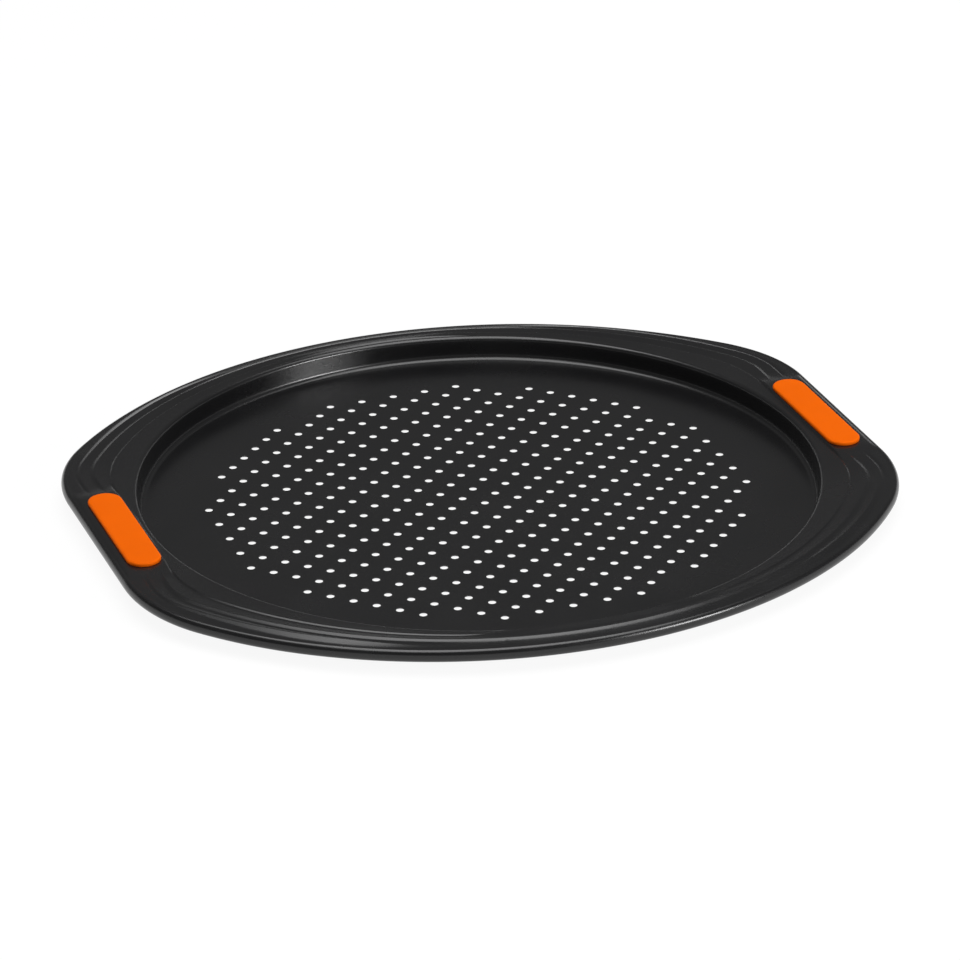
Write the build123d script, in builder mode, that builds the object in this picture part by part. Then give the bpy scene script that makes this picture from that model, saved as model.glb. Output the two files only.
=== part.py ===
"""Perforated pizza pan: one pressed steel sheet with a silicone grip moulded through each end of its rim.

Millimetres, +Z up. The origin is on the pan's axis, on the underside of the floor, where the pan rests.
The grips lie at the two ends of the X axis.
"""

import os
from math import cos, hypot, pi, radians, sin, sqrt, tan

from build123d import *

# Sheet and round dish
sheet = 0.9
wall_height = 12.0  # from the floor's upper face to the rim's
floor_radius = 165.4
wall_draft = 3.0  # degrees off upright
floor_bend = 2.6  # the bevel between floor and wall
land_radius = 169.0  # the rim is level from the wall out to here

# Perforations: a square lattice turned by 45 degrees, trimmed to a circle
hole_pitch = 12.0
hole_radius = 1.85
hole_sides = 4  # each hole is a square with the area of the round one, along the lattice
field_radius = 132.5

# Rim: three ridges step down from the dish to the hem. Each tread climbs outwards to its ridge's crest
# and a leaning wall drops from there to the next tread. Every outline is a rounded lens, given as
# (half width, half depth, long arc at front and back, corner arc).
ridge_outlines = (
    (172.2, 174.0, 196.8, 68.0),
    (180.0, 178.2, 207.6, 77.0),
    (188.6, 180.8, 225.6, 84.0),
)
ridge_leans = (45.0, 45.0, 25.0)  # degrees off upright
tread_slopes = (9.4, 8.3, 2.7)  # degrees
tread_starts = (land_radius, ridge_outlines[1][1], ridge_outlines[2][1])  # where each tread has its level
tread_levels = (0.0, 0.0, -0.6)  # above the rim's level, where the tread starts
crest_levels = (1.3, 0.8, -0.2)  # where each outline is drawn, above the rim's level
hem_outline = (192.3, 183.7, 228.6, 88.8)
hem_size = 3.2  # the rolled edge, across and high
hem_bevel = 0.9
flange_drop = 2.8  # from the rim's level to the flat strip inside the hem
tread_depth = 2.0  # the two inner ridges start this far below the rim's level, inside the third

# Seats: level places in the rim under the grips, where the ridges end
seat_rise = 1.35
seat_inner = 170.4
seat_length = 97.0
seat_corner = 4.0
seat_lean = 45.0  # degrees off upright

# Grips
grip_centre = 179.2
grip_length = 82.0
grip_width = 16.6
grip_corner = 8.2
pad_above = 1.95
pad_below = 1.8
pad_bevel = 0.8
lower_pad_inset = 1.2
slot_length = 64.0
slot_width = 8.0

overrun = 2.0

rim_level = sheet + wall_height
flange_level = rim_level - flange_drop
seat_level = rim_level + seat_rise
far = hypot(hem_outline[0], hem_outline[1])
plate_radius = field_radius + hole_pitch
hole_corner = hole_radius * sqrt(2 * pi / (hole_sides * sin(2 * pi / hole_sides)))


def lens(outline, inset=0):
    """A rounded lens: straight sides, long arcs at front and back and corner arcs between them."""
    half_width, half_depth, long_arc, corner_arc = (size - inset for size in outline)
    with BuildSketch() as shape:
        with Locations((0, long_arc - half_depth)):
            Circle(long_arc)
        with Locations((0, half_depth - long_arc)):
            Circle(long_arc, mode=Mode.INTERSECT)
        Rectangle(2 * half_width, 2 * long_arc, mode=Mode.INTERSECT)
        fillet(shape.vertices(), corner_arc)
    return shape.sketch


def wall_inset(lean, drop):
    """How far a wall at this lean moves in, when its foot sinks by drop, to leave a sheet of that thickness."""
    return drop * (1 - sin(radians(lean))) / cos(radians(lean))


def leaning_block(shape, level, rise, depth, lean):
    """A block with this outline at its level, which narrows above it and widens below it."""
    with BuildPart() as block:
        for run, slant in ((rise, lean), (-depth, -lean)):
            with BuildSketch(Plane.XY.offset(level)):
                add(shape)
            extrude(amount=run, taper=slant)
    return block.part


def under_tread(start, level, slope):
    """Everything below one tread: a ring whose top is a shallow cone."""
    inner = land_radius - overrun
    with BuildPart() as ring:
        with BuildSketch(Plane.XZ):
            with BuildLine():
                heights = [level + tan(radians(slope)) * (reach - start) for reach in (inner, far)]
                Polyline((inner, 0), (inner, heights[0]), (far, heights[1]), (far, 0), close=True)
            make_face()
        revolve(axis=Axis.Z)
    return ring.part


def seats(drop):
    """The two level seats as blocks."""
    inset = wall_inset(seat_lean, drop)
    with BuildPart() as blocks:
        with BuildSketch(Plane.XY.offset(seat_level - drop)):
            for side in (-1, 1):
                with Locations((side * (seat_inner + far) / 2, 0)):
                    RectangleRounded(far - seat_inner - 2 * inset, seat_length - 2 * inset, seat_corner - inset)
        extrude(amount=-flange_drop, taper=-seat_lean)
    return blocks.part


def ridges(drop):
    """The solid below the ridged rim, sunk by drop: the sheet lies between the one at zero and the one at its own
    thickness."""
    tread_base = rim_level - tread_depth - drop
    bases = (tread_base, tread_base, flange_level - sheet - drop)
    rows = zip(ridge_outlines, ridge_leans, tread_slopes, tread_starts, tread_levels, crest_levels, bases)
    with BuildPart() as solid:
        for outline, lean, slope, start, tread_level, crest_level, base in rows:
            level = rim_level + crest_level - drop
            shape = lens(outline, wall_inset(lean, drop))
            block = leaning_block(shape, level, overrun, level - base, lean)
            below = under_tread(start, rim_level + tread_level - drop, slope)
            if outline is ridge_outlines[-1]:
                below += seats(drop)
            add(block & below)
    return solid.part


def dish_section():
    """The dish's section: the floor outside its holes, the wall and the level land where the ridged rim begins."""
    foot = (floor_radius, sheet)
    brow = (floor_radius + wall_height * tan(radians(wall_draft)), rim_level)
    under_foot = (foot[0] + sheet, 0)
    under_brow = (brow[0] + sheet, rim_level - sheet)
    land = ((land_radius, rim_level), (land_radius, rim_level - sheet))
    with BuildSketch() as section:
        with BuildLine():
            Polyline((plate_radius, 0), (plate_radius, sheet), foot, brow, *land, under_brow, under_foot, close=True)
        make_face()
        for corner in (foot, under_foot):
            chamfer(section.vertices().sort_by_distance(corner)[0], floor_bend)
    return section.sketch


def hem_ring():
    """The rolled edge as a ring along the hem's outline, bevelled outside."""
    middle = Plane.XY.offset(flange_level - sheet / 2)
    with BuildPart() as ring:
        with BuildSketch(middle):
            add(lens(hem_outline, -hem_size / 2))
        extrude(amount=hem_size / 2, both=True)
        levels = ring.edges().group_by(Axis.Z)
        chamfer(levels[0] + levels[-1], hem_bevel)
        with BuildSketch(middle):
            add(lens(hem_outline, hem_size / 2))
        extrude(amount=hem_size / 2, both=True, mode=Mode.SUBTRACT)
    return ring.part


def perforations():
    """Centres of the floor's holes."""
    step = hole_pitch / sqrt(2)
    rows = int(field_radius / hole_pitch) + 1
    halves = [row + 1 / 2 for row in range(-rows, rows)]
    places = [((i + j) * step, (i - j) * step) for i in halves for j in halves]
    return [place for place in places if hypot(*place) <= field_radius]


# The pressed blank: a strip at the hem's level, the ridged rim, the hem, the dish, then the slots
with BuildPart() as blank:
    with BuildSketch(Plane.XY.offset(flange_level - sheet)):
        add(lens(hem_outline))
    extrude(amount=sheet)
    add(ridges(0))
    add(ridges(sheet), mode=Mode.SUBTRACT)
    add(hem_ring())
    with BuildSketch():
        Circle(land_radius)
    extrude(amount=2 * rim_level, mode=Mode.SUBTRACT)
    with BuildSketch(Plane.XZ):
        add(dish_section())
    revolve(axis=Axis.Z)
    with BuildSketch(Plane.XY.offset(seat_level)):
        with Locations((-grip_centre, 0), (grip_centre, 0)):
            SlotOverall(slot_length, slot_width, rotation=90)
    extrude(amount=-2 * sheet, mode=Mode.SUBTRACT)

# The pan: the blank with its perforated floor
with BuildPart() as pan:
    with BuildSketch():
        Circle(plate_radius)
        with Locations(*perforations()):
            RegularPolygon(hole_corner, hole_sides, mode=Mode.SUBTRACT)
    extrude(amount=sheet)
    add(blank.part)
pan.part.label = "pan"


# The grips: a pad above the rim and a smaller one below, joined by a neck that fills the slot
def moulded_grip(centre):
    """One grip, closed round the sheet at its seat."""
    inset = lower_pad_inset
    upper = Plane((centre, 0, seat_level))
    lower = upper.offset(-sheet)
    with BuildPart() as body:
        with BuildSketch(upper):
            RectangleRounded(grip_width, grip_length, grip_corner)
        extrude(amount=pad_above)
        chamfer(body.edges().group_by(Axis.Z)[-1], pad_bevel)
        with BuildSketch(upper):
            SlotOverall(slot_length, slot_width, rotation=90)
        extrude(amount=-sheet)
        with BuildSketch(lower):
            RectangleRounded(grip_width - 2 * inset, grip_length - 2 * inset, grip_corner - inset)
        extrude(amount=-pad_below)
    return body.part


grip_left = moulded_grip(-grip_centre)
grip_left.label = "grip_left"
grip_right = moulded_grip(grip_centre)
grip_right.label = "grip_right"

os.makedirs("parts", exist_ok=True)
export_step(pan.part, "parts/pan.step")
export_step(grip_left, "parts/grip_left.step")
export_step(grip_right, "parts/grip_right.step")
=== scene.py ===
"""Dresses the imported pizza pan: a finely pressed black pan with round perforations and two silicone grips."""

from collections import namedtuple
from math import atan2, cos, hypot, pi, radians, sin, sqrt, tan

import bpy
import numpy as np
from mathutils import Matrix, Vector
from mathutils.geometry import delaunay_2d_cdt


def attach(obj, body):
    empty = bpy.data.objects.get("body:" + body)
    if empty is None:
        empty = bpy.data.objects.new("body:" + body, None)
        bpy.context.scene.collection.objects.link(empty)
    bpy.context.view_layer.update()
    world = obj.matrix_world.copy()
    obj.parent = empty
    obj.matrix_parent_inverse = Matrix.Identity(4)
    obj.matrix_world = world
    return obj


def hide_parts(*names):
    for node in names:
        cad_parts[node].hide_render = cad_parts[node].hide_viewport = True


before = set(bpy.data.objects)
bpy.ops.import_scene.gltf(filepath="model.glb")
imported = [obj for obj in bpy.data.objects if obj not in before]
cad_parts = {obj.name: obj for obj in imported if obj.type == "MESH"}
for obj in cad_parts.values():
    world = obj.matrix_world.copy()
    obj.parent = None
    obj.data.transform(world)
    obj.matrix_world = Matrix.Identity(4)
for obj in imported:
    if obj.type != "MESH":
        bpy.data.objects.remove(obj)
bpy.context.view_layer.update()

# Shapes are worked out in millimetres in the CAD's frame and scaled by this once they are meshes
MM = 0.001

# The sheet and the dish, as in the CAD, with rounded bends
SHEET = 0.9
WALL_HEIGHT = 12.0
RIM_LEVEL = SHEET + WALL_HEIGHT
FLOOR_RADIUS = 165.4
WALL_DRAFT = radians(3.0)
WALL_TURN = pi / 2 - WALL_DRAFT
FOLD_RADIUS = 3.0
FOLD_CENTRE = FLOOR_RADIUS - FOLD_RADIUS * tan(WALL_TURN / 2)
BROW_RADIUS = 2.3
BROW_CENTRE = FLOOR_RADIUS + WALL_HEIGHT * tan(WALL_DRAFT) + BROW_RADIUS * tan(WALL_TURN / 2)
LAND_RADIUS = 169.0
LAND_SOFTNESS = 0.6
RIM_START = LAND_RADIUS - LAND_SOFTNESS

# The perforations, and the plate round them that is meshed by itself
HOLE_PITCH = 12.0
HOLE_RADIUS = 1.85
HOLE_SIDES = 28
FIELD_RADIUS = 132.5
PLATE_RADIUS = FIELD_RADIUS + HOLE_PITCH
# Each hole from above, as growth of its radius and level: a soft pressed edge, the punched wall and the
# break that opens downwards
HOLE_SECTION = (
    (0.22, SHEET),
    (0.10, SHEET - 0.03),
    (0.02, SHEET - 0.10),
    (0.0, SHEET - 0.22),
    (0.10, SHEET - 0.40),
    (0.75, 0.12),
    (1.0, 0.02),
    (1.12, 0.0),
)

# The rim's ridges, from the dish outwards
# outline: a rounded lens, as half width, half depth, long arc and corner arc
# lean: how far off upright the wall is that falls from it
# base, crest: the levels above the rim's where its tread starts and where it ends
# fade, slope_fade_share: how far the crest sinks at front and back, and how much of the wall's slope goes
# crest_softness, foot_softness: how round the press leaves the bends above and below the wall
Ridge = namedtuple("Ridge", "outline lean base crest fade slope_fade_share crest_softness foot_softness")
RIDGES = (
    Ridge((169.3, 170.6, 188.6, 67.9), radians(60), 0.0, 0.42, 0.22, 0.0, 0.1, 0.08),
    Ridge((175.1, 175.1, 200.4, 38.4), radians(69), -0.05, 0.7, 0.17, 0.0, 0.14, 0.12),
    Ridge((182.6, 178.8, 210.5, 46.0), radians(70), -0.12, 0.65, 1.05, 0.65, 0.2, 0.3),
)
# The fades set in between these distances from the X axis
FADE_FROM, FADE_TO = 140.0, 170.0
# A tread climbs as if it were at least this wide
NARROWEST_TREAD = 0.5

# The rolled edge is an oval along this outline, with this half width and half height
HEM_OUTLINE = (191.55, 181.75, 224.5, 82.0)
HEM_LEVEL = RIM_LEVEL - 3.75
HEM_WIDE = 2.3
HEM_HIGH = 3.05
# The strip between the last ridge and the rolled edge
STRIP_LEVEL = RIM_LEVEL - 0.75
# Beside the grips the rolled edge lies higher, and the strip comes up to the seat. Both lifts end between
# these distances from the X axis, and the strip's sets in between these distances from the last crest.
HEM_LIFT = 1.5
STRIP_LIFT = 1.4
LIFT_FROM, LIFT_TO = 48.0, 140.0
STRIP_LIFT_FROM, STRIP_LIFT_TO = -1.0, 3.0

# The seats under the grips
SEAT_LEVEL = RIM_LEVEL + 1.35
SEAT_INNER = 170.4
SEAT_HALF_LENGTH = 43.0
SEAT_CORNER = 1.0
SEAT_SOFTNESS = 0.4
# How steeply a seat falls at its inner edge, at its ends, and outside the grip from this distance on
SEAT_RAMP = 1.2
SEAT_END_RAMP = 0.12
SEAT_FALL = 0.1
SEAT_FALL_FROM = 187.5

# The grips
GRIP_CENTRE = 179.2
GRIP_LENGTH = 82.0
GRIP_WIDTH = 16.6
GRIP_CORNER = 8.2
GRIP_LEAST_CORNER = 0.3
GRIP_CROWN = 0.06
PAD_ABOVE = 1.95
PAD_BELOW = 1.8
UPPER_EDGE = 1.0
LOWER_EDGE = 0.8
LOWER_INSET = 1.2
LOWER_MIDDLE_INSET = 4.0
SLOT_LENGTH = 64.0
SLOT_WIDTH = 8.0
# The clearance of a grip's neck in its slot, and of its pads off the sheet
NECK_GAP = 0.1
SEAT_GAP = 0.01
# A grip's crown: how far in from its side, and the share of the crown's height that is lost there
CROWN_ROWS = ((7.9, 0.0), (6.4, 0.0), (4.4, 0.3), (2.6, 0.7))
# Where the pads meet the seat: how far in from their sides, and how far off the sheet
UPPER_FOOT_ROWS = ((0.0, 0.35), (0.08, 0.08), (0.3, SEAT_GAP))
LOWER_FOOT_ROWS = ((0.3, SEAT_GAP), (0.08, 0.08))

# Points in the dish's section
FLOOR_PARTS = 8
FOLD_POINTS = 9
BROW_POINTS = 8
UNDER_BROW_POINTS = 6
LAND_POINTS = 7
QUARTER_SHARES = (0.25, 0.5, 0.75)

# Lines of the mesh across the rim in a quarter turn, from one angle in degrees to the next, and how many:
# they are close together at the seats' ends. They lie along X up to one angle, and are radial from another.
LINE_BANDS = ((0.0, 14.0, 35), (14.0, 19.5, 66), (19.5, 30.0, 36), (30.0, 90.0, 120))
ALONG_X_TO, RADIAL_FROM = radians(19.5), radians(49)

# Columns of the mesh along the rim: round a crest or foot as shares of its reach, which is this many times
# its softness, and round a seat's inner edge in millimetres. Away from a seat, between these degrees, the
# seat's columns move to the middle of the first tread.
COLUMN_REACH = 3
CREST_SHARES = (-1.0, -0.75, -0.5, -0.3, -0.15, 0, 0.15, 0.3, 0.5, 0.75)
FOOT_SHARES = (-0.8, -0.5, -0.25, 0, 0.25, 0.5, 0.8)
SEAT_COLUMNS = (-2.7, -1.8, -0.9, -0.6, -0.3, 0.0, 0.3, 0.6, 0.9)
SEAT_COLUMNS_FROM, SEAT_COLUMNS_TO = 18.5, 35.0
END_GAP = 0.03
LEAST_GAP = 0.0002

# How far along the lines an outline is looked for, and a crest and a foot from the place before them
OUTLINE_SPAN = (-5, 60)
CREST_SPAN = (-3, 2)
FOOT_SPAN = (-1, 7)
HALVINGS = 30

# Points round the rolled edge, and the shares of the way round it where they begin and end
BEAD_POINTS = 27
BEAD_FIRST_SHARE, BEAD_LAST_SHARE = 0.02, 0.98

# Points nearer than this are one point to the plate's triangulation
SAME_POINT = 1e-4

# Points of a grip's loops: at each corner and along each end and side, and round the upper and lower edges
CORNER_POINTS = 9
END_PARTS = 4
SIDE_PARTS = 32
UPPER_EDGE_POINTS = 9
LOWER_EDGE_POINTS = 7

# The materials' clouds: how fine their noise is, and the part of its range over which roughness changes
CLOUD_DETAIL = 4.0
CLOUD_LOW, CLOUD_HIGH = 0.3, 0.7

# The floor, in metres, and how much of it glows white to the camera and in reflections
FLOOR_HALF = 4.0
FLOOR_DROP = 0.0002
FLOOR_GREY = 0.86
FLOOR_GLOW_SHARE = 0.92

# The studio's grey by the sine of its height above the horizon, from this sine below the horizon upwards
WORLD_DEPTH = 0.1
WORLD_TONES = ((0.08, 1.0), (0.12, 0.25), (0.17, 0.08), (0.42, 0.175), (1.0, 0.175))

# The lamps: place, width and height in metres, and the brightness of the face
SOFTBOXES = {
    "overhead": ((0.0, 0.0, 2.2), 2.2, 2.2, 3.4),
    "side": ((1.5, -1.95, 0.85), 0.9, 0.5, 23.0),
}
# A lamp's power for each square metre of a face of brightness 1
LAMP_POWER = 4

# The photograph's camera, as the perforations fix it: sensor and lens in millimetres, place in metres, and
# the directions of the picture's right and top
CAMERA_SENSOR = 36.0
CAMERA_LENS = 168.97
CAMERA_PLACE = (-0.67027, -1.86864, 0.94715)
CAMERA_RIGHT = (0.9385715, -0.34474073, -0.01540677)
CAMERA_UP = (0.16037255, 0.39621875, 0.90404168)


def smooth_max(a, b, reach):
    """The larger of two heights, with the corner between them rounded."""
    blend = np.clip(0.5 + 0.5 * (a - b) / reach, 0, 1)
    return b + (a - b) * blend + reach * blend * (1 - blend)


def smooth_min(a, b, reach):
    """The smaller of two heights, with the corner between them rounded."""
    return -smooth_max(-a, -b, reach)


def ease(value, low, high):
    """0 at low, 1 at high, smooth between."""
    t = np.clip((value - low) / (high - low), 0, 1)
    return t * t * (3 - 2 * t)


def spread(low, high, count):
    """Evenly spaced steps from low to high, without high."""
    return [low + (high - low) * k / count for k in range(count)]


def corner_of(outline):
    """A lens outline's arc centre, corner centre and the angle at which the corner meets the long arc."""
    half_width, half_depth, long_arc, corner_arc = outline
    arc_y = half_depth - long_arc
    corner_x = half_width - corner_arc
    corner_y = arc_y + sqrt((long_arc - corner_arc) ** 2 - corner_x ** 2)
    return arc_y, corner_x, corner_y, atan2(corner_y - arc_y, corner_x)


def outline_distance(x, y, outline):
    """Signed distance to a lens outline, positive outside."""
    x, y = np.abs(x), np.abs(y)
    half_width, _, long_arc, corner_arc = outline
    arc_y, corner_x, corner_y, turn = corner_of(outline)
    side = x - half_width
    corner = np.hypot(x - corner_x, y - corner_y) - corner_arc
    arc = np.hypot(x, y - arc_y) - long_arc
    beyond_corner = np.arctan2(y - corner_y, x - corner_x) > turn
    return np.where(y <= corner_y, side, np.where(beyond_corner, arc, corner))


def outline_normal(x, y, outline):
    """The outline's outward direction in plan at a point on it."""
    step = 0.05
    slope_x = outline_distance(x + step, y, outline) - outline_distance(x - step, y, outline)
    slope_y = outline_distance(x, y + step, outline) - outline_distance(x, y - step, outline)
    size = np.hypot(slope_x, slope_y)
    return slope_x / size, slope_y / size


def lift_share(y):
    """How much of the lifts beside the grips holds here."""
    return 1 - ease(np.abs(y), LIFT_FROM, LIFT_TO)


def strip_level(x, y):
    """The height of the strip inside the rolled edge."""
    outside = ease(outline_distance(x, y, RIDGES[-1].outline), STRIP_LIFT_FROM, STRIP_LIFT_TO)
    return STRIP_LEVEL + STRIP_LIFT * lift_share(y) * outside


def fade_share(y):
    """How much of the ridges' fades holds here."""
    return ease(np.abs(y), FADE_FROM, FADE_TO)


def crest_level(ridge, y):
    """The height of a ridge's crest above the rim's level."""
    return ridge.crest - ridge.fade * fade_share(y)


def tread_height(index, x, y, drop):
    """One tread, sunk by drop: it climbs from the foot of the wall inside it to its own crest."""
    ridge = RIDGES[index]
    if index:
        inner = RIDGES[index - 1]
        wall_width = (crest_level(inner, y) - ridge.base) * tan(inner.lean)
        past = outline_distance(x, y, inner.outline) - wall_width
    else:
        past = smooth_max(np.hypot(x, y) - LAND_RADIUS, 0, LAND_SOFTNESS)
    share = past / np.maximum(past - outline_distance(x, y, ridge.outline), NARROWEST_TREAD)
    return RIM_LEVEL + ridge.base + (crest_level(ridge, y) - ridge.base) * share - drop


def wall_height(index, x, y, drop):
    """The leaning wall of one ridge, sunk by drop so that the sheet keeps its thickness."""
    ridge = RIDGES[index]
    inset = drop * (1 - sin(ridge.lean)) / cos(ridge.lean)
    slope = (1 - ridge.slope_fade_share * fade_share(y)) / tan(ridge.lean)
    return RIM_LEVEL + crest_level(ridge, y) - drop - (outline_distance(x, y, ridge.outline) + inset) * slope


def foot_height(index, x, y, drop):
    """What the wall of one ridge stands on: the next tread, or the strip."""
    if index + 1 < len(RIDGES):
        return tread_height(index + 1, x, y, drop)
    return strip_level(x, y) - drop


def seat_distance(x, y):
    """Signed distance to a seat's outline in plan, stretched where its inner edge and its ends ramp up."""
    across = (SEAT_INNER - np.abs(x)) * SEAT_RAMP + SEAT_CORNER
    along = (np.abs(y) - SEAT_HALF_LENGTH) * SEAT_END_RAMP + SEAT_CORNER
    outside = np.hypot(np.maximum(across, 0), np.maximum(along, 0))
    return outside + np.minimum(np.maximum(across, along), 0) - SEAT_CORNER


def rim_height(x, y, drop):
    """The rim's height in plan. With drop it is the underside of a sheet of that thickness."""
    height = strip_level(x, y) - drop
    for index, ridge in enumerate(RIDGES):
        tread = tread_height(index, x, y, drop)
        raised = smooth_min(tread, wall_height(index, x, y, drop), ridge.crest_softness)
        height = smooth_max(height, raised, ridge.foot_softness)
    level = SEAT_LEVEL - drop - np.maximum(np.abs(x) - SEAT_FALL_FROM, 0) * SEAT_FALL
    inset = drop * (sqrt(2) - 1)  # as for a wall at 45 degrees
    seat = smooth_min(level, SEAT_LEVEL - drop - inset - seat_distance(x, y), SEAT_SOFTNESS)
    return smooth_max(height, seat, SEAT_SOFTNESS)


def hem_turns(x, y, drop):
    """The angle round the rolled edge at which the strip's upper or lower face meets it."""
    rise = strip_level(x, y) - drop - HEM_LEVEL - HEM_LIFT * lift_share(y)
    return pi - np.arcsin(rise / HEM_HIGH)


def line_angles():
    """Where the lines of the pan's mesh start round the dish."""
    quarter = [angle for band in LINE_BANDS for angle in spread(*band)]
    half_turn = quarter + [90.0] + [180.0 - angle for angle in quarter[:0:-1]]
    return np.radians(half_turn + [angle + 180.0 for angle in half_turn])


def angles_off_x(angles):
    """The angle between each line's start and the X axis, from 0 to a quarter turn."""
    return np.arcsin(np.clip(np.abs(np.sin(angles)), 0, 1))


def lines_across(angles):
    """The lines across the rim: a function from distances along them to places in plan, and their
    directions."""
    start_x, start_y = RIM_START * np.cos(angles), RIM_START * np.sin(angles)
    folded = angles_off_x(angles)
    turned = folded * ease(folded, ALONG_X_TO, RADIAL_FROM)
    way_x = np.copysign(np.cos(turned), np.cos(angles))
    way_y = np.copysign(np.sin(turned), np.sin(angles))

    def at(distance):
        return start_x + distance * way_x, start_y + distance * way_y

    return at, way_x, way_y


def find_crossing(gap, low, high):
    """Where a gap that rises from below zero to above it crosses zero, for all lines at once."""
    for _ in range(HALVINGS):
        middle = (low + high) / 2
        below = gap(middle) < 0
        low, high = np.where(below, middle, low), np.where(below, high, middle)
    return (low + high) / 2


def outline_crossing(at, outline):
    """How far along each line it crosses an outline."""
    return find_crossing(lambda t: outline_distance(*at(t), outline), *OUTLINE_SPAN)


def crest_and_foot(index, at, drop):
    """How far along each line one ridge's crest and the foot of its wall are."""

    def over_crest(t):
        return tread_height(index, *at(t), drop) - wall_height(index, *at(t), drop)

    def past_foot(t):
        return foot_height(index, *at(t), drop) - wall_height(index, *at(t), drop)

    reach = outline_crossing(at, RIDGES[index].outline)
    crest = find_crossing(over_crest, reach + CREST_SPAN[0], reach + CREST_SPAN[1])
    return crest, find_crossing(past_foot, crest + FOOT_SPAN[0], crest + FOOT_SPAN[1])


def rim_places(angles, drop):
    """The rim's nodes on every line, in plan: close together round each crest, foot and seat edge."""
    at, way_x, way_y = lines_across(angles)
    hem = outline_crossing(at, HEM_OUTLINE)
    out_x, out_y = outline_normal(*at(hem), HEM_OUTLINE)
    strip_end = hem + HEM_WIDE * np.cos(hem_turns(*at(hem), drop)) / (way_x * out_x + way_y * out_y)
    start = np.zeros(len(angles))
    bends = [crest_and_foot(index, at, drop) for index in range(len(RIDGES))]
    marks = [start] + [place for pair in bends for place in pair] + [strip_end]
    columns = []
    for before, after in zip(marks[:-1], marks[1:]):
        columns += [before + (after - before) * share for share in QUARTER_SHARES]
    for (crest, foot), ridge in zip(bends, RIDGES):
        columns += [crest + COLUMN_REACH * ridge.crest_softness * share for share in CREST_SHARES]
        columns += [foot + COLUMN_REACH * ridge.foot_softness * share for share in FOOT_SHARES]
    seat_edge = SEAT_INNER - np.abs(at(start)[0])
    first_crest = bends[0][0]
    away = ease(np.degrees(angles_off_x(angles)), SEAT_COLUMNS_FROM, SEAT_COLUMNS_TO)
    seat_edge = seat_edge + (0.5 * first_crest - seat_edge) * away
    columns += [seat_edge + shift for shift in SEAT_COLUMNS]
    columns = np.clip(np.array(columns), END_GAP, strip_end - END_GAP)
    columns = np.sort(columns, axis=0) + LEAST_GAP * np.arange(len(columns))[:, None]
    return at(np.vstack([start, columns, strip_end]))


def bead_rows(angles):
    """Rows of points round the rolled edge, from the strip's upper face to its lower one."""
    at, _, _ = lines_across(angles)
    x, y = at(outline_crossing(at, HEM_OUTLINE))
    out_x, out_y = outline_normal(x, y, HEM_OUTLINE)
    level = HEM_LEVEL + HEM_LIFT * lift_share(y)
    first, end = hem_turns(x, y, 0.0), hem_turns(x, y, SHEET) - 2 * pi
    rows = []
    for share in np.linspace(BEAD_FIRST_SHARE, BEAD_LAST_SHARE, BEAD_POINTS):
        turn = first + (end - first) * share
        shift = HEM_WIDE * np.cos(turn)
        rows.append((x + out_x * shift, y + out_y * shift, level + HEM_HIGH * np.sin(turn)))
    return rows


def arc_points(centre, radius, start, end, count):
    """Points of an arc in a section, angles in radians from +r towards +z."""
    turns = np.linspace(start, end, count)
    return [(centre[0] + radius * cos(turn), centre[1] + radius * sin(turn)) for turn in turns]


def points_between(start, end):
    """The points of a section that divide a straight run into quarters."""
    run, rise = end[0] - start[0], end[1] - start[1]
    return [(start[0] + run * share, start[1] + rise * share) for share in QUARTER_SHARES]


def dish_upper():
    """The dish's inside in section: the floor, its fold, the wall, the brow and the level land."""
    fold_centre, brow_centre = (FOLD_CENTRE, SHEET + FOLD_RADIUS), (BROW_CENTRE, RIM_LEVEL - BROW_RADIUS)
    floor = [(r, SHEET) for r in spread(PLATE_RADIUS, FOLD_CENTRE, FLOOR_PARTS)]
    fold = arc_points(fold_centre, FOLD_RADIUS, -pi / 2, -WALL_DRAFT, FOLD_POINTS)
    brow = arc_points(brow_centre, BROW_RADIUS, pi - WALL_DRAFT, pi / 2, BROW_POINTS)
    land = [(r, RIM_LEVEL) for r in np.linspace(brow[-1][0], RIM_START, LAND_POINTS)[1:-1]]
    return floor + fold + points_between(fold[-1], brow[0]) + brow + land


def dish_lower():
    """The dish's outside in section, from the brow down to the floor."""
    fold_centre, brow_centre = (FOLD_CENTRE, SHEET + FOLD_RADIUS), (BROW_CENTRE, RIM_LEVEL - BROW_RADIUS)
    brow = arc_points(brow_centre, BROW_RADIUS - SHEET, pi / 2, pi - WALL_DRAFT, UNDER_BROW_POINTS)
    fold = arc_points(fold_centre, FOLD_RADIUS + SHEET, -WALL_DRAFT, -pi / 2, FOLD_POINTS)
    floor = [(r, 0.0) for r in spread(FOLD_CENTRE, PLATE_RADIUS, FLOOR_PARTS)[1:]] + [(PLATE_RADIUS, 0.0)]
    return brow + points_between(brow[-1], fold[0]) + fold + floor


def pan_sections(angles):
    """The pan's closed section outside its plate, for every line, as rows of points round the pan."""
    rays = np.array([np.cos(angles), np.sin(angles)])

    def turned(section):
        return [[(r * x, r * y, z) for x, y in rays.T] for r, z in section]

    def rim_rows(drop):
        places = rim_places(angles, drop)
        return [list(zip(*row)) for row in zip(*places, rim_height(*places, drop))]

    bead = [list(zip(*row)) for row in bead_rows(angles)]
    return turned(dish_upper()) + rim_rows(0.0) + bead + rim_rows(SHEET)[::-1] + turned(dish_lower())


def hole_places():
    """Centres of the perforations: a square lattice turned by 45 degrees and trimmed to a circle."""
    step = HOLE_PITCH / sqrt(2)
    rows = int(FIELD_RADIUS / HOLE_PITCH) + 1
    halves = [row + 0.5 for row in range(-rows, rows)]
    places = [((i + j) * step, (i - j) * step) for i in halves for j in halves]
    return [place for place in places if hypot(*place) <= FIELD_RADIUS]


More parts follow.
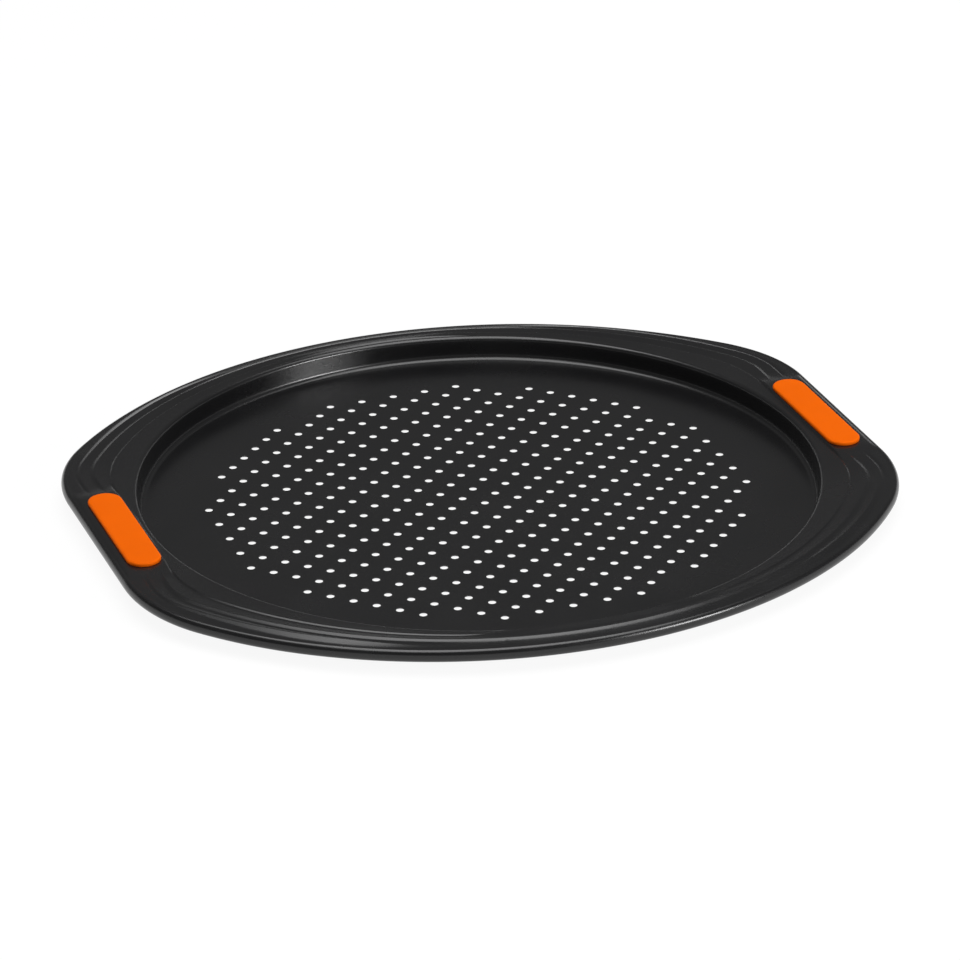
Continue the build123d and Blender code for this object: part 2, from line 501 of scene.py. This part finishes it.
def hole_rings(centre):
    """The points of one perforation, ring by ring from above."""
    turns = [2 * pi * k / HOLE_SIDES for k in range(HOLE_SIDES)]
    rings = []
    for grow, level in HOLE_SECTION:
        radius = HOLE_RADIUS + grow
        rings.append([(centre[0] + radius * cos(t), centre[1] + radius * sin(t), level) for t in turns])
    return rings


def quad_strip(first, second, inwards=False):
    """The faces between two rings of vertices, which look outwards unless inwards is set."""
    faces = []
    for j, k in zip(range(len(first)), [*range(1, len(first)), 0]):
        if inwards:
            faces.append((first[j], first[k], second[k], second[j]))
        else:
            faces.append((first[j], second[j], second[k], first[k]))
    return faces


def plate_faces(rim, holes, hole_size, centres, vertices):
    """Triangles of one side of the plate, between its edge ring and the rings round its holes."""
    points, known, edges = [], [], []
    for ring in [rim, *holes]:
        first = len(points)
        points += [Vector(vertices[index][:2]) for index in ring]
        known += ring
        edges += [(first + k, first + (k + 1) % len(ring)) for k in range(len(ring))]
    out_points, _, out_faces, origins, _, _ = delaunay_2d_cdt(points, edges, [], 0, SAME_POINT)
    if len(out_points) != len(points):
        raise RuntimeError("the plate's triangulation added points")
    place = [known[origin[0]] for origin in origins]
    centres = np.array(centres)
    clear = hole_size * cos(pi / HOLE_SIDES)
    faces = []
    for face in out_faces:
        middle = sum((Vector(out_points[k]) for k in face), Vector((0, 0))) / len(face)
        in_hole = np.min(np.hypot(centres[:, 0] - middle.x, centres[:, 1] - middle.y)) < clear
        if middle.length <= PLATE_RADIUS and not in_hole:
            faces.append(tuple(place[k] for k in face))
    return faces


def pan_mesh():
    """The whole pan as one closed mesh, and how many of its faces are shaded smooth."""
    sections = pan_sections(line_angles())
    vertices = [point for row in sections for point in row]
    count = len(sections[0])
    rings = [list(range(k * count, (k + 1) * count)) for k in range(len(sections))]
    faces = [face for above, below in zip(rings[:-1], rings[1:]) for face in quad_strip(above, below)]
    centres = hole_places()
    upper_rings, lower_rings = [], []
    for centre in centres:
        hole = []
        for ring in hole_rings(centre):
            hole.append(list(range(len(vertices), len(vertices) + HOLE_SIDES)))
            vertices += ring
        for above, below in zip(hole[:-1], hole[1:]):
            faces += quad_strip(above, below, inwards=True)
        upper_rings.append(hole[0])
        lower_rings.append(hole[-1])
    smooth_count = len(faces)
    upper_size, lower_size = HOLE_RADIUS + HOLE_SECTION[0][0], HOLE_RADIUS + HOLE_SECTION[-1][0]
    faces += plate_faces(rings[0], upper_rings, upper_size, centres, vertices)
    faces += [face[::-1] for face in plate_faces(rings[-1], lower_rings, lower_size, centres, vertices)]
    return vertices, faces, smooth_count


def rounded_loop(width, length, corner, level):
    """A rounded rectangle with a fixed number of points along its sides and ends."""
    points = []
    corners = ((1, 1, 0), (-1, 1, pi / 2), (-1, -1, pi), (1, -1, 3 * pi / 2))
    for index, (side_x, side_y, start) in enumerate(corners):
        centre = side_x * (width / 2 - corner), side_y * (length / 2 - corner)
        arc = arc_points(centre, corner, start, start + pi / 2, CORNER_POINTS)
        next_x, next_y, next_start = corners[(index + 1) % len(corners)]
        end_x = next_x * (width / 2 - corner) + corner * cos(next_start)
        end_y = next_y * (length / 2 - corner) + corner * sin(next_start)
        x, y = arc[-1]
        parts = SIDE_PARTS if index % 2 else END_PARTS
        points += arc
        points += [(x + (end_x - x) * t / parts, y + (end_y - y) * t / parts) for t in range(1, parts)]
    return [(x, y, level) for x, y in points]


def grip_loop(inset, level):
    """A rounded rectangle this far inside the grip's outline."""
    corner = max(GRIP_CORNER - inset, GRIP_LEAST_CORNER)
    return rounded_loop(GRIP_WIDTH - 2 * inset, GRIP_LENGTH - 2 * inset, corner, level)


def grip_loops():
    """A grip's loops from the middle of its top to the middle of its underside."""
    top = SEAT_LEVEL + PAD_ABOVE
    under = SEAT_LEVEL - SHEET
    bottom = under - PAD_BELOW
    rows = [(inset, top - GRIP_CROWN * share) for inset, share in CROWN_ROWS]
    for a in np.linspace(0.0, pi / 2, UPPER_EDGE_POINTS):
        rows.append((UPPER_EDGE - UPPER_EDGE * sin(a), top - GRIP_CROWN - UPPER_EDGE + UPPER_EDGE * cos(a)))
    rows += [(inset, SEAT_LEVEL + rise) for inset, rise in UPPER_FOOT_ROWS]
    low_rows = [(inset, under - fall) for inset, fall in LOWER_FOOT_ROWS]
    for a in np.linspace(0, pi / 2, LOWER_EDGE_POINTS):
        low_rows.append((LOWER_EDGE - LOWER_EDGE * cos(a), bottom + LOWER_EDGE - LOWER_EDGE * sin(a)))
    low_rows.append((LOWER_MIDDLE_INSET, bottom))
    neck = (SLOT_WIDTH - NECK_GAP, SLOT_LENGTH - NECK_GAP, SLOT_WIDTH / 2 - NECK_GAP)
    loops = [grip_loop(inset, level) for inset, level in rows]
    loops += [rounded_loop(*neck, SEAT_LEVEL + SEAT_GAP), rounded_loop(*neck, under - SEAT_GAP)]
    return loops + [grip_loop(inset + LOWER_INSET, level) for inset, level in low_rows]


def grip_mesh(centre):
    """One grip as a stack of loops closed at both ends."""
    loops = grip_loops()
    vertices = [(x + centre, y, z) for loop in loops for x, y, z in loop]
    size = len(loops[0])
    rings = [list(range(k * size, (k + 1) * size)) for k in range(len(loops))]
    faces = [face for above, below in zip(rings[:-1], rings[1:]) for face in quad_strip(above, below)]
    return vertices, faces + [tuple(rings[0]), tuple(rings[-1][::-1])]


def add_object(name, data):
    """A new object in the scene."""
    new = bpy.data.objects.new(name, data)
    bpy.context.scene.collection.objects.link(new)
    return new


def add_mesh(name, vertices, faces, smooth_count=None):
    """An object in metres from points in millimetres, its first faces shaded smooth."""
    mesh = bpy.data.meshes.new(name)
    mesh.from_pydata((np.array(vertices) * MM).tolist(), [], faces)
    mesh.validate()
    smooth_count = len(faces) if smooth_count is None else smooth_count
    mesh.polygons.foreach_set("use_smooth", [k < smooth_count for k in range(len(mesh.polygons))])
    return add_object(name, mesh)


class Nodes:
    """A short way to fill the node tree of a material or a world."""

    def __init__(self, owner):
        owner.use_nodes = True
        self.tree = owner.node_tree
        self.tree.nodes.clear()

    def add(self, kind, inputs=None, **settings):
        node = self.tree.nodes.new(kind)
        for name, value in settings.items():
            setattr(node, name, value)
        for name, value in (inputs or {}).items():
            node.inputs[name].default_value = value
        return node

    def link(self, source, target):
        self.tree.links.new(source, target)

    def noise(self, coordinate, scale, detail, rough=0.5):
        node = self.add("ShaderNodeTexNoise", {"Scale": scale, "Detail": detail, "Roughness": rough})
        self.link(coordinate, node.inputs["Vector"])
        return node.outputs["Fac"]

    def remap(self, source, from_low, from_high, low=0.0, high=1.0):
        inputs = {"From Min": from_low, "From Max": from_high, "To Min": low, "To Max": high}
        node = self.add("ShaderNodeMapRange", inputs)
        self.link(source, node.inputs["Value"])
        return node.outputs["Result"]

    def mix_colour(self, factor, first, second):
        """A mix of two colours, whose sockets have numbers because the node has several of each name."""
        first_colour, second_colour, colour_result = 6, 7, 2
        inputs = {first_colour: (*first, 1), second_colour: (*second, 1)}
        node = self.add("ShaderNodeMix", inputs, data_type="RGBA")
        self.link(factor, node.inputs["Factor"])
        return node.outputs[colour_result]

    def maths(self, operation, first, second):
        """One operation on a socket and a second socket or a number."""
        node = self.add("ShaderNodeMath", operation=operation)
        self.link(first, node.inputs[0])
        if isinstance(second, float):
            node.inputs[1].default_value = second
        else:
            self.link(second, node.inputs[1])
        return node.outputs[0]


def grained_skin(name, sockets, cloud_scale, tones, roughness, grain, relief):
    """A material with faint clouds in its colour and roughness and a fine grain in its surface. Grain is a
    noise's scale, detail and roughness, and relief is the bump's strength and its distance in metres."""
    material = bpy.data.materials.new(name)
    nodes = Nodes(material)
    coords = nodes.add("ShaderNodeTexCoord").outputs["Object"]
    cloud = nodes.noise(coords, cloud_scale, CLOUD_DETAIL)
    body = nodes.add("ShaderNodeBsdfPrincipled", sockets)
    nodes.link(nodes.mix_colour(cloud, *tones), body.inputs["Base Color"])
    nodes.link(nodes.remap(cloud, CLOUD_LOW, CLOUD_HIGH, *roughness), body.inputs["Roughness"])
    bump = nodes.add("ShaderNodeBump", {"Strength": relief[0], "Distance": relief[1]})
    nodes.link(nodes.noise(coords, *grain), bump.inputs["Height"])
    nodes.link(bump.outputs["Normal"], body.inputs["Normal"])
    nodes.link(body.outputs["BSDF"], nodes.add("ShaderNodeOutputMaterial").inputs["Surface"])
    return material


def coated_steel():
    """Satin black non-stick coating: a faint cloudiness and a fine sprayed grain."""
    return grained_skin(
        "coated_steel",
        sockets={"IOR": 1.5},
        cloud_scale=22.0,
        tones=((0.0030, 0.0030, 0.0033), (0.0052, 0.0051, 0.0055)),
        roughness=(0.23, 0.29),
        grain=(2600.0, 2.0, 0.5),
        relief=(0.05, 0.00005),
    )


def silicone():
    """Soft orange silicone: a matt skin with a fine moulded grain and faint mottling."""
    return grained_skin(
        "silicone",
        sockets={"IOR": 1.41, "Specular IOR Level": 0.02},
        cloud_scale=60.0,
        tones=((0.60, 0.09, 0.001), (0.67, 0.104, 0.002)),
        roughness=(0.45, 0.58),
        grain=(1800.0, 3.0, 0.6),
        relief=(0.25, 0.0001),
    )


def floor_white():
    """The pale floor: white to the camera, in mirrors and through glass, with a faint shadow."""
    material = bpy.data.materials.new("floor_white")
    nodes = Nodes(material)
    path = nodes.add("ShaderNodeLightPath")
    seen = nodes.maths("MAXIMUM", path.outputs["Is Camera Ray"], path.outputs["Is Glossy Ray"])
    seen = nodes.maths("MAXIMUM", seen, path.outputs["Is Transmission Ray"])
    share = nodes.maths("MULTIPLY", seen, FLOOR_GLOW_SHARE)
    matt = nodes.add("ShaderNodeBsdfDiffuse", {"Color": (FLOOR_GREY, FLOOR_GREY, FLOOR_GREY, 1)})
    glow = nodes.add("ShaderNodeEmission", {"Strength": 1.0})
    mix = nodes.add("ShaderNodeMixShader")
    nodes.link(share, mix.inputs[0])
    nodes.link(matt.outputs[0], mix.inputs[1])
    nodes.link(glow.outputs[0], mix.inputs[2])
    nodes.link(mix.outputs[0], nodes.add("ShaderNodeOutputMaterial").inputs["Surface"])
    return material


def add_floor():
    """A large square just below the pan."""
    mesh = bpy.data.meshes.new("floor")
    corners = [(x * FLOOR_HALF, y * FLOOR_HALF, 0) for x, y in ((-1, -1), (1, -1), (1, 1), (-1, 1))]
    mesh.from_pydata(corners, [], [(0, 1, 2, 3)])
    mesh.materials.append(floor_white())
    floor = add_object("floor", mesh)
    floor.location.z = -FLOOR_DROP
    return floor


def build_world():
    """A studio that is white below the horizon, dim just above it and a soft grey higher up."""
    world = bpy.data.worlds.new("studio")
    bpy.context.scene.world = world
    nodes = Nodes(world)
    split = nodes.add("ShaderNodeSeparateXYZ")
    nodes.link(nodes.add("ShaderNodeTexCoord").outputs["Generated"], split.inputs[0])
    tones = nodes.add("ShaderNodeValToRGB")
    nodes.link(nodes.remap(split.outputs["Z"], -WORLD_DEPTH, 1.0), tones.inputs[0])
    stops = tones.color_ramp.elements
    while len(stops) < len(WORLD_TONES):
        stops.new(1.0)
    for stop, (height, tone) in zip(stops, WORLD_TONES):
        stop.position = (height + WORLD_DEPTH) / (1 + WORLD_DEPTH)
        stop.color = (tone, tone, tone, 1)
    back = nodes.add("ShaderNodeBackground")
    nodes.link(tones.outputs["Color"], back.inputs["Color"])
    nodes.link(back.outputs[0], nodes.add("ShaderNodeOutputWorld").inputs["Surface"])


def add_softbox(name, place, width, height, brightness):
    """A rectangular lamp that looks at the pan."""
    light = bpy.data.lights.new(name, "AREA")
    light.shape = "RECTANGLE"
    light.size, light.size_y = width, height
    light.energy = brightness * width * height * LAMP_POWER
    lamp = add_object(name, light)
    lamp.location = place
    lamp.rotation_euler = (Vector((0, 0, 0)) - Vector(place)).to_track_quat("-Z", "Y").to_euler()


def add_camera():
    """The photograph's camera."""
    data = bpy.data.cameras.new("camera")
    data.sensor_width = CAMERA_SENSOR
    data.lens = CAMERA_LENS
    camera = add_object("camera", data)
    right, up = Vector(CAMERA_RIGHT), Vector(CAMERA_UP)
    turn = Matrix((right, up, right.cross(up))).transposed()
    camera.matrix_world = Matrix.Translation(CAMERA_PLACE) @ turn.to_4x4()
    bpy.context.scene.camera = camera


# The pan
pan = add_mesh("pressed_pan", *pan_mesh())
pan.data.materials.append(coated_steel())
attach(pan, "root")
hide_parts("pan")

# The grips
rubber = silicone()
for side, node in ((-1, "grip_left"), (1, "grip_right")):
    grip = add_mesh("silicone_" + node, *grip_mesh(side * GRIP_CENTRE))
    grip.data.materials.append(rubber)
    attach(grip, "root")
    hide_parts(node)

# The stage
add_floor()
build_world()
for name, settings in SOFTBOXES.items():
    add_softbox(name, *settings)
add_camera()
bpy.context.scene.view_settings.view_transform = "Standard"
